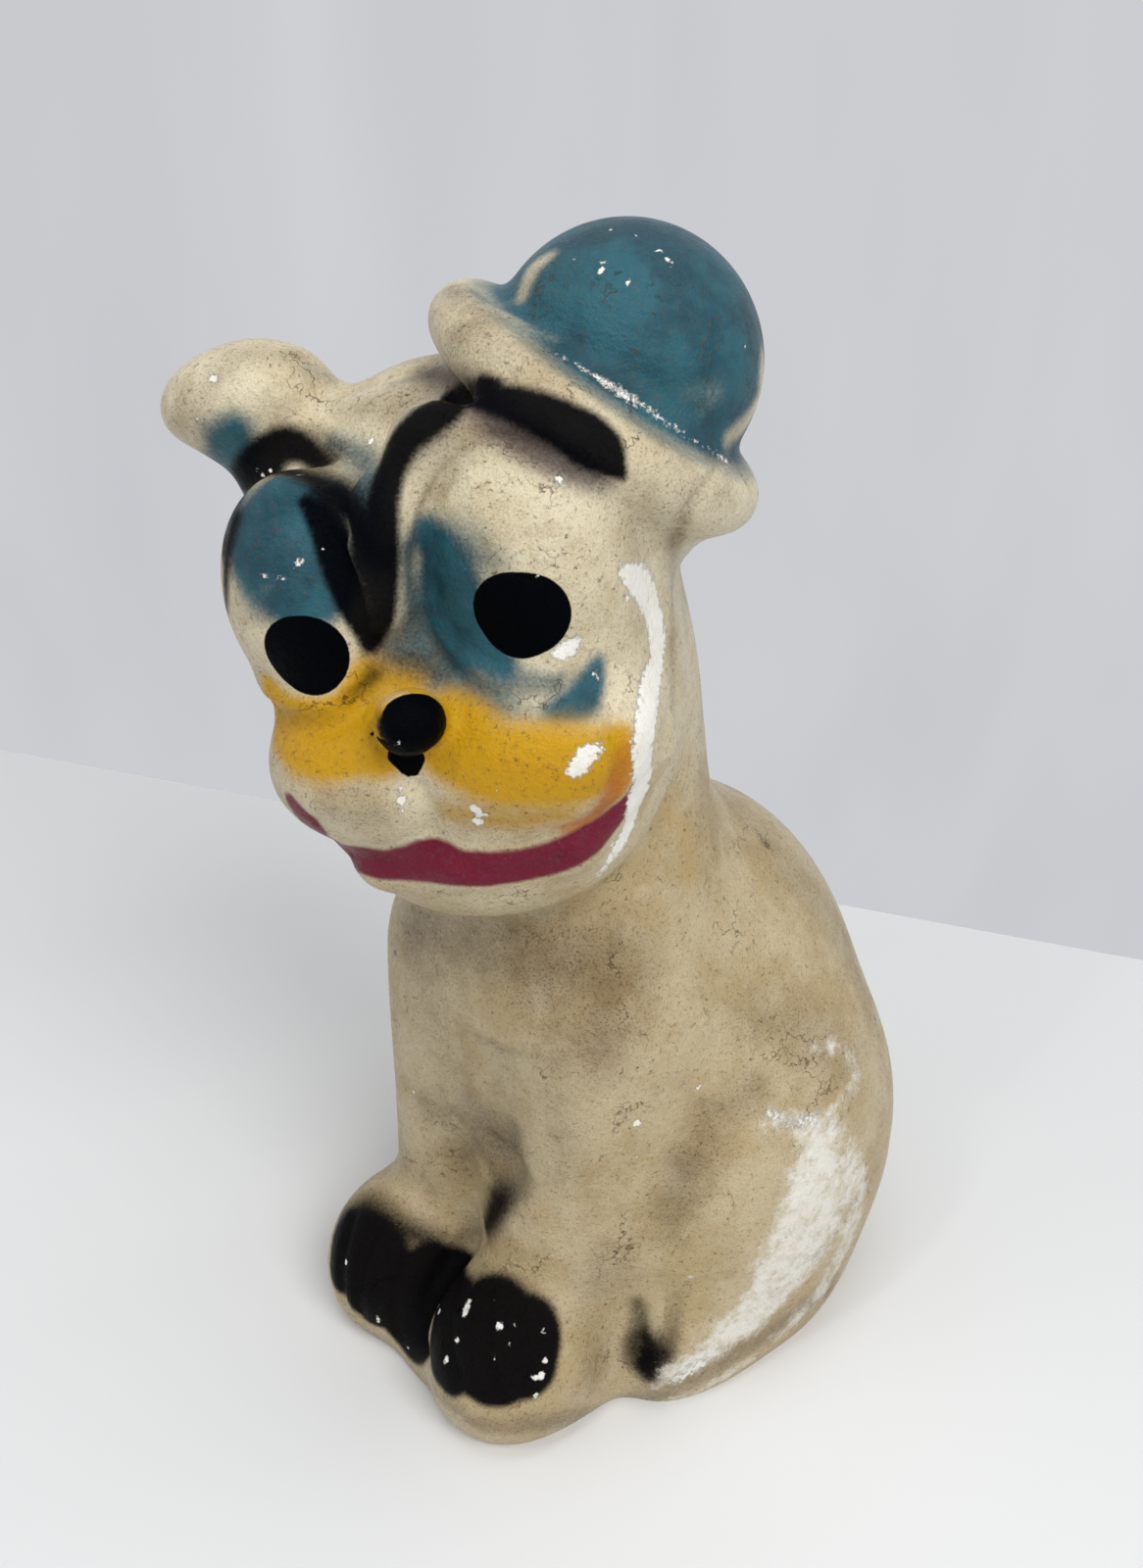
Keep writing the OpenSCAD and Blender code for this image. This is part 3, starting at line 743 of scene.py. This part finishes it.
# Casting holes and scars: x, y and radius in pixels
pits = {
    "all": [(445, 370, 4), (438, 377, 3.4), (455, 364, 3), (413, 506, 1.4), (600, 540, 1.2),
        (626, 279, 2.4), (634, 278, 1.6), (590, 262, 3), (581, 346, 1.8), (690, 360, 1.6), (730, 362, 1.4),
        (716, 500, 3), (709, 512, 3), (701, 522, 3), (694, 533, 2.4)],
    "body": [(586, 1054, 1.4), (592, 1060, 1.4), (598, 1066, 1.2), (650, 1090, 1.6), (618, 1122, 1.4),
        (614, 1146, 1.2), (614, 1160, 1.2), (614, 1174, 1.2), (694, 1122, 1.6), (690, 1242, 3),
        (680, 1246, 2.4), (742, 1244, 2), (504, 1110, 1.6), (506, 1180, 2), (500, 1192, 1.6),
        (764, 1018, 2), (760, 1030, 1.4), (866, 1102, 1.6), (626, 1290, 1.8), (578, 1178, 1.4),
        (546, 1162, 1.4), (786, 1226, 1.6), (742, 1036, 1.2)],
}


def clusterGap(points, spots, part):
    centres, scale = touchSkin(np.array(spots, float)[:, :2], part)
    return strokeGap(points, centres, (np.array(spots, float)[:, 2] * scale).astype(np.float32))


def pathGap(points, part, path):
    dense = densePath(path)
    centres, scale = touchSkin(dense[:, :2], part)
    return strokeGap(points, centres, (dense[:, 2] * scale).astype(np.float32))


def overTheBrim(points):
    q = intoPart(points, "hat")
    t = np.clip((q[:, 2] - hatPaint["low"]) / (hatPaint["high"] - hatPaint["low"]), 0, 1)
    onCrown = (np.hypot(q[:, 0], q[:, 1]) < hatPaint["reach"]) & (q[:, 2] < hatPaint["top"])
    return (t * onCrown).astype(np.float32)


def paintedLayers(points):
    layers = {}
    for layer, strokes in paint.items():
        cover = overTheBrim(points) if layer == "teal" else np.zeros(len(points), np.float32)
        for part, path, soft, strength in [(part, *stroke) for part in strokes for stroke in strokes[part]]:
            t = np.clip(0.5 - pathGap(points, part, path) / soft, 0, 1)
            t = t * t * (3 - 2 * t)
            cover = 1 - (1 - cover) * (1 - strength * t) if strength > 0 else cover * (1 + strength * t)
        layers[layer] = cover
    for layer, paths in marks.items():
        layers[layer] = np.min([pathGap(points, "all", path) for path in paths], axis=0)
    layers["chip"] = np.min([clusterGap(points, spots, part) for part, spots in chips.items()], axis=0)
    layers["pit"] = np.min([clusterGap(points, spots, part) for part, spots in pits.items()], axis=0)
    return layers


def creaseShade(points, normals):
    # How closed in the skin is round a point, from the gap a little way out: painted shade for the hollows.
    near, wide = (skinGap(points + normals * out) / out for out in search["creaseShading"])
    return np.clip(1 - 0.5 * (near + wide), 0, 1)


def setLayer(mesh, name, values):
    layer = mesh.attributes.new(name, "FLOAT", "POINT")
    layer.data.foreach_set("value", np.asarray(values, np.float32))


def keepNormals(mesh):
    # The whole skin's normals stay with the points, so no seam shows where the halves are cut.
    layer = mesh.attributes.new("skinNormal", "FLOAT_VECTOR", "POINT")
    layer.data.foreach_set("vector", meshNormals(mesh).ravel())


def keptNormals(mesh):
    kept = readVectors(mesh.attributes["skinNormal"].data, "vector")
    long = np.linalg.norm(kept, axis=1, keepdims=True)
    return np.where(long > 0.5, kept / np.maximum(long, 1e-6), meshNormals(mesh))


def cutHalf(source, name, side):
    # Cuts one mould half out of the figure, open at the base.
    made = bmesh.new()
    made.from_mesh(source)
    for at, facing in (((0, 0, 0), (0, 0, -1)), ((0, casting["seam"], 0), (0, side, 0))):
        everything = made.verts[:] + made.edges[:] + made.faces[:]
        bmesh.ops.bisect_plane(made, geom=everything, dist=casting["cutReach"],
                               plane_co=at, plane_no=facing, clear_outer=True)
    mesh = bpy.data.meshes.new(name)
    made.to_mesh(mesh)
    made.free()
    return mesh


def innerPoints(outer, normals, side, wall):
    # The inside of the wall, which ends flat at the base and at the seam.
    inner = pullToSkin(outer - normals * wall, 3, -wall, 2.0)
    rimOnFloor = outer[:, 2] < casting["onPlane"]
    rimOnSeam = np.abs(outer[:, 1] - casting["seam"]) < casting["onPlane"]
    inner[:, 2] = np.where(rimOnFloor, 0, np.maximum(inner[:, 2], casting["lift"]))
    beyond = (inner[:, 1] - casting["seam"]) * side > 0
    inner[:, 1] = np.where(rimOnSeam | beyond, casting["seam"], inner[:, 1])
    return inner


def castHalf(source, name, side):
    # One mould half with its wall, and the points and normals of its outside.
    cut = cutHalf(source, name, side)
    outer, normals = meshPoints(cut), keptNormals(cut)
    cut.attributes.remove(cut.attributes["skinNormal"])
    wall = casting["wall"] / size
    thick = changed(cut, "SOLIDIFY", thickness=wall, offset=-1)
    setPoints(thick, np.vstack([outer, innerPoints(outer, normals, side, wall)]))
    return addObject(name, thick), outer, normals


def smoothSkin(mesh, count, normals):
    # The outside has the whole skin's normals, the inside is smooth and the cut rim is flat.
    corners = np.empty(len(mesh.loops), np.int32)
    mesh.loops.foreach_get("vertex_index", corners)
    starts = np.empty(len(mesh.polygons), np.int32)
    mesh.polygons.foreach_get("loop_start", starts)
    inside = np.add.reduceat((corners >= count).astype(np.int32), starts)
    lengths = np.diff(np.append(starts, len(corners)))
    mesh.polygons.foreach_set("use_smooth", (inside == 0) | (inside == lengths))
    onOuter = np.repeat(inside == 0, lengths)
    cornerNormals = np.zeros((len(corners), 3), np.float32)
    cornerNormals[onOuter] = normals[corners[onOuter]]
    mesh.normals_split_custom_set(cornerNormals)


def finishHalf(half, outer, normals, node):
    mesh = half.data
    count = len(outer)
    layers = paintedLayers(outer)
    # painted shade for the hollows, kept as a layer
    layers["creaseShading"] = creaseShade(outer, normals)
    for name, values in layers.items():
        flat = 0.0 if name in paint or name == "creaseShading" else search["beyond"]
        setLayer(mesh, name, np.concatenate([values, np.full(count, flat, np.float32)]))
    setLayer(mesh, "hollow", np.concatenate([np.zeros(count), np.ones(count)]))
    setPoints(mesh, np.clip(toScene(meshPoints(mesh)), *cadBox))
    smoothSkin(mesh, count, normals)
    mesh.materials.clear()
    mesh.materials.append(paintedPlaster)
    mesh.update()
    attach(half, "root")
    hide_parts(node)
    print("finished", node, len(mesh.polygons), "faces")


colours = {
    "cream": "#DDD2B4", "tan": "#BBA67C", "ochre": "#A88F66", "dirtAndShadeTone": "#55432F", "stain": "#8E6A3A",
    "tealDeep": "#184450", "teal": "#265C68", "yellow": "#C79604", "orange": "#B4640A", "purple": "#3A2230",
    "lip": "#6E0828", "black": "#020308", "ink": "#020306", "bareAndHighlight": "#F6F4EC", "hollow": "#DAD2BF",
    "slip": "#DDD5C2",
}

# Noise in the plaster and the paint: size of one blotch in mm, detail, roughness, shift
grains = {
    "mist": (0.7, 4.0, 0.75, 0.0),        # spray droplets, drawn a little coarse
    "blotch": (24, 4.0, 0.62, 3.1),
    "mottle": (6, 5.0, 0.66, 9.4),
    "fleck": (1.1, 5.0, 0.78, 5.2),
    "grit": (0.45, 3.0, 0.7, 7.7),        # grains of the plaster, drawn a little coarse
    "cloud": (14, 3.0, 0.6, 12.0),
    "crackPatch": (17, 3.0, 0.6, 33.0),
    "rubbed": (4.5, 8.0, 0.8, 21.0),
    "wave": (3.4, 6.0, 0.66, 1.3),
    "lumps": (3.0, 4.0, 0.6, 0.0),
}

# Coats on the cast: the noise that breaks up the edge and by how much, where the coat
# begins and is full, and how well it hides what is under it
coats = {
    "teal": ("mist", 0.45, 0.12, 0.88, 1.0),
    "yellow": ("mist", 0.5, 0.12, 0.88, 1.0),
    "orange": ("mist", 0.5, 0.12, 0.88, 0.85),
    "purple": ("mist", 0.4, 0.12, 0.88, 0.8),
    "black": ("mist", 0.4, 0.12, 0.88, 0.99),
    "lips": ("mottle", 1.2, 0.6, -0.7, 1.0),
    "chalk": ("rubbed", 2.2, 0.4, 1.1, 0.82),
    "ink": ("fleck", 0.25, 0.12, -0.12, 1.0),
    "wearAndHighlight": ("fleck", 1.5, 0.5, 0.72, 0.97),
    "chip": ("fleck", 1.6, 0.1, -0.1, 1.0),
    "pit": ("fleck", 0.8, 0.15, -0.25, 1.0),
}


def startMaterial(name, kinds):
    # An empty material with the piece's coordinates in mm and the noises that it draws on.
    material = bpy.data.materials.new(name)
    material.use_nodes = True
    add = partial(addNode, material.node_tree)
    mm = add("Mapping", add("TexCoord", give="Object"), None, None, (1000, 1000, 1000))
    noise = {}
    for kind in kinds:
        grain, detail, rough, shift = grains[kind]
        moved = add("VectorMath", mm, (shift, shift * 1.7, -shift), **plus)
        noise[kind] = add("TexNoise", moved, 1 / grain, detail, rough)
    return material, add, mm, noise


def finishMaterial(material, finish):
    tree = material.node_tree
    for name, value in finish.items():
        socket = tree.nodes["Principled BSDF"].inputs[name]
        if isinstance(value, bpy.types.NodeSocket):
            tree.links.new(value, socket)
        else:
            socket.default_value = value
    return material


# Hairline cracks: cells of about 13 mm, bent by 9 mm where the noise sways them
cracking = {"perMm": 0.075, "swayPerMm": 0.35, "sway": (9.0, 9.0, 9.0), "edge": 0.011, "core": 0.004}


def makePaintedPlaster():
    # Plaster of Paris sealed with size, sprayed with thin matt colours and brushed in black:
    # cream browner towards the base, fine dirt and painted shade in the hollows, misty edges, white chips
    # where the skin has gone, and a painted highlight down the cheek edge.
    kinds = [kind for kind in grains if kind != "lumps"]
    material, add, mm, noise = startMaterial("paintedPlaster", kinds)
    shade = {name: hexColour(text) for name, text in colours.items()}
    names = [*paint, *marks, "chip", "pit", "creaseShading", "hollow"]
    layer = {name: add("Attribute", attribute_name=name, give="Fac") for name in names}
    height = add("SeparateXYZ", mm, give="Z")
    cover = {}
    for name, (kind, amount, begins, full, hides) in coats.items():
        swing = add("Math", noise[kind], 0.5, **less)
        edge = add("Math", layer[name], add("Math", swing, amount, **times), **plus)
        cover[name] = add("MapRange", edge, begins, full, 0.0, hides, **smoothly)

    # the sealed cast, browner towards the base, with tan blotches
    lowerBrowning = add("MapRange", height, browningBelow["high"], browningBelow["low"], 0.0, 0.62, **smoothly)
    blotched = add("MapRange", noise["blotch"], 0.4, 0.72, 0.0, 0.7, **smoothly)
    browned = add("Math", lowerBrowning, blotched, use_clamp=True, **plus)
    tone = add("Mix", browned, shade["cream"], shade["tan"], **inColour)
    mottled = add("MapRange", noise["mottle"], 0.48, 0.78, 0.0, 0.4, **smoothly)
    tone = add("Mix", mottled, tone, shade["ochre"], **inColour)

    # dirt and painted shade in the hollows, old stains and grit
    # painted shade: the hollows darken by how closed in the skin is there
    creaseShadeCover = add("MapRange", layer["creaseShading"], 0.32, 0.85, 0.0, 0.5, **smoothly)
    grimeAndCreaseShade = add("Math", layer["grimeAndShade"], 0.75, creaseShadeCover, **timesPlus)
    patchy = add("MapRange", noise["mottle"], 0.2, 0.7, 0.4, 0.8, **smoothly)
    tone = add("Mix", add("Math", grimeAndCreaseShade, patchy, use_clamp=True, **times), tone, shade["dirtAndShadeTone"], **inColour)
    uneven = add("MapRange", noise["mottle"], 0.3, 0.7, 0.35, 0.8, **smoothly)
    tone = add("Mix", add("Math", layer["stain"], uneven, **times), tone, shade["stain"], **inColour)
    gritty = add("MapRange", noise["grit"], 0.5, 0.66, 0.0, 1.0, **smoothly)
    gritCover = add("Math", gritty, add("Math", grimeAndCreaseShade, 0.55, 0.3, **timesPlus), use_clamp=True, **times)
    tone = add("Mix", gritCover, tone, shade["dirtAndShadeTone"], **inColour)

    # sprayed and brushed colours
    clouded = add("MapRange", noise["cloud"], 0.38, 0.62, 0.0, 1.0, **smoothly)
    shade["teal"] = add("Mix", clouded, shade["tealDeep"], shade["teal"], **inColour)
    shade["lips"] = shade["lip"]
    for name in ("teal", "yellow", "orange", "lips", "purple"):
        tone = add("Mix", cover[name], tone, shade[name], **inColour)

    # specks and hairline cracks, then the black over them
    specks = add("MapRange", noise["fleck"], 0.55, 0.68, 0.0, 1.0, **smoothly)
    speckShare = add("MapRange", noise["blotch"], 0.3, 0.6, 0.4, 0.85, **smoothly)
    tone = add("Mix", add("Math", specks, speckShare, **times), tone, shade["dirtAndShadeTone"], **inColour)
    wander = add("TexNoise", mm, cracking["swayPerMm"], 4.0, give="Color")
    bent = add("VectorMath", wander, cracking["sway"], mm, **timesPlus)
    veins = add("TexVoronoi", bent, cracking["perMm"], feature="DISTANCE_TO_EDGE")
    veinCover = add("MapRange", veins, cracking["edge"], cracking["core"], 0.0, 1.0, **smoothly)
    crackShare = add("MapRange", noise["crackPatch"], 0.56, 0.64, 0.0, 1.0, **smoothly)
    cracks = add("Math", veinCover, crackShare, **times)
    tone = add("Mix", add("Math", cracks, 0.75, **times), tone, shade["dirtAndShadeTone"], **inColour)
    tone = add("Mix", cover["black"], tone, shade["black"], **inColour)
    tone = add("Mix", cover["chalk"], tone, shade["bareAndHighlight"], **inColour)
    tone = add("Mix", cover["ink"], tone, shade["ink"], **inColour)

    # bare plaster in worn places and chips, a painted highlight down the cheek edge, casting holes, and the
    # raw inside
    bareAndHighlightCover = add("Math", cover["wearAndHighlight"], cover["chip"], **most)
    creamy = add("MapRange", noise["mottle"], 0.4, 0.7, 0.0, 0.35, **smoothly)
    bareAndHighlightTone = add("Mix", creamy, shade["bareAndHighlight"], shade["cream"], **inColour)
    tone = add("Mix", bareAndHighlightCover, tone, bareAndHighlightTone, **inColour)
    tone = add("Mix", add("Math", cover["pit"], 0.8, **times), tone, shade["dirtAndShadeTone"], **inColour)
    browner = add("MapRange", noise["mottle"], 0.4, 0.7, 0.0, 1.0, **smoothly)
    raw = add("Mix", browner, shade["hollow"], shade["tan"], **inColour)
    tone = add("Mix", layer["hollow"], tone, raw, **inColour)

    # thin size has a faint sheen, bare plaster has none, and the black hardly reflects
    sheen = add("MapRange", noise["mottle"], 0.3, 0.8, 0.22, 0.42, **smoothly)
    dull = add("Math", bareAndHighlightCover, layer["hollow"], **most)
    dark = add("Math", cover["ink"], layer["black"], **most)
    skin = add("Math", noise["wave"], 0.9, add("Math", noise["fleck"], 0.3, **times), **timesPlus)
    coarser = add("MapRange", height, browningBelow["high"], browningBelow["rough"], 0.08, 0.2, **smoothly)
    skin = add("Math", noise["grit"], coarser, skin, **timesPlus)
    skin = add("Math", bareAndHighlightCover, -0.3, skin, **timesPlus)
    skin = add("Math", add("Math", cover["pit"], cracks, **most), -0.6, skin, **timesPlus)
    return finishMaterial(material, {
        "Base Color": tone,
        "Roughness": add("Math", dull, 0.35, sheen, use_clamp=True, **timesPlus),
        "IOR": 1.5,
        "Specular IOR Level": add("MapRange", dark, 0.0, 1.0, 0.22, 0.02, **smoothly),
        "Normal": add("Bump", 0.8, 0.0011, None, skin),
    })


def makeBrushedSlip():
    # Plaster slip brushed on by hand: dry, chalky and lumpy.
    material, add, mm, noise = startMaterial("brushedSlip", ["lumps"])
    thick = add("MapRange", noise["lumps"], 0.35, 0.7, 0.0, 1.0, **smoothly)
    return finishMaterial(material, {
        "Base Color": add("Mix", thick, hexColour(colours["slip"]), hexColour(colours["hollow"]), **inColour),
        "Roughness": 0.9,
        "Normal": add("Bump", 0.8, 0.001, None, noise["lumps"]),
    })


addCamera()
addRoom()
addCurtain()
addLamps()
print("camera, table, curtain and lamps")

rough = remeshed(buildRough(), casting["roughGrid"])
setPoints(rough, pullToSkin(meshPoints(rough), 4))
skin = remeshed(rough, casting["fineGrid"])
setPoints(skin, pullToSkin(meshPoints(skin), 3))
print("skin", len(skin.vertices), "points")
setPoints(skin, carve(meshPoints(skin), meshNormals(skin)))
print("carved lines")
keepNormals(skin)

paintedPlaster = makePaintedPlaster()
for half, node, side in (("frontCast", "front_shell", 1), ("backCast", "back_shell", -1)):
    piece, outer, normals = castHalf(skin, half, side)
    finishHalf(piece, outer, normals, node)

brushedSlip = makeBrushedSlip()
for node in ("left_lute", "right_lute"):
    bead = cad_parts[node]
    bead.data.materials.clear()
    bead.data.materials.append(brushedSlip)
print("materials")
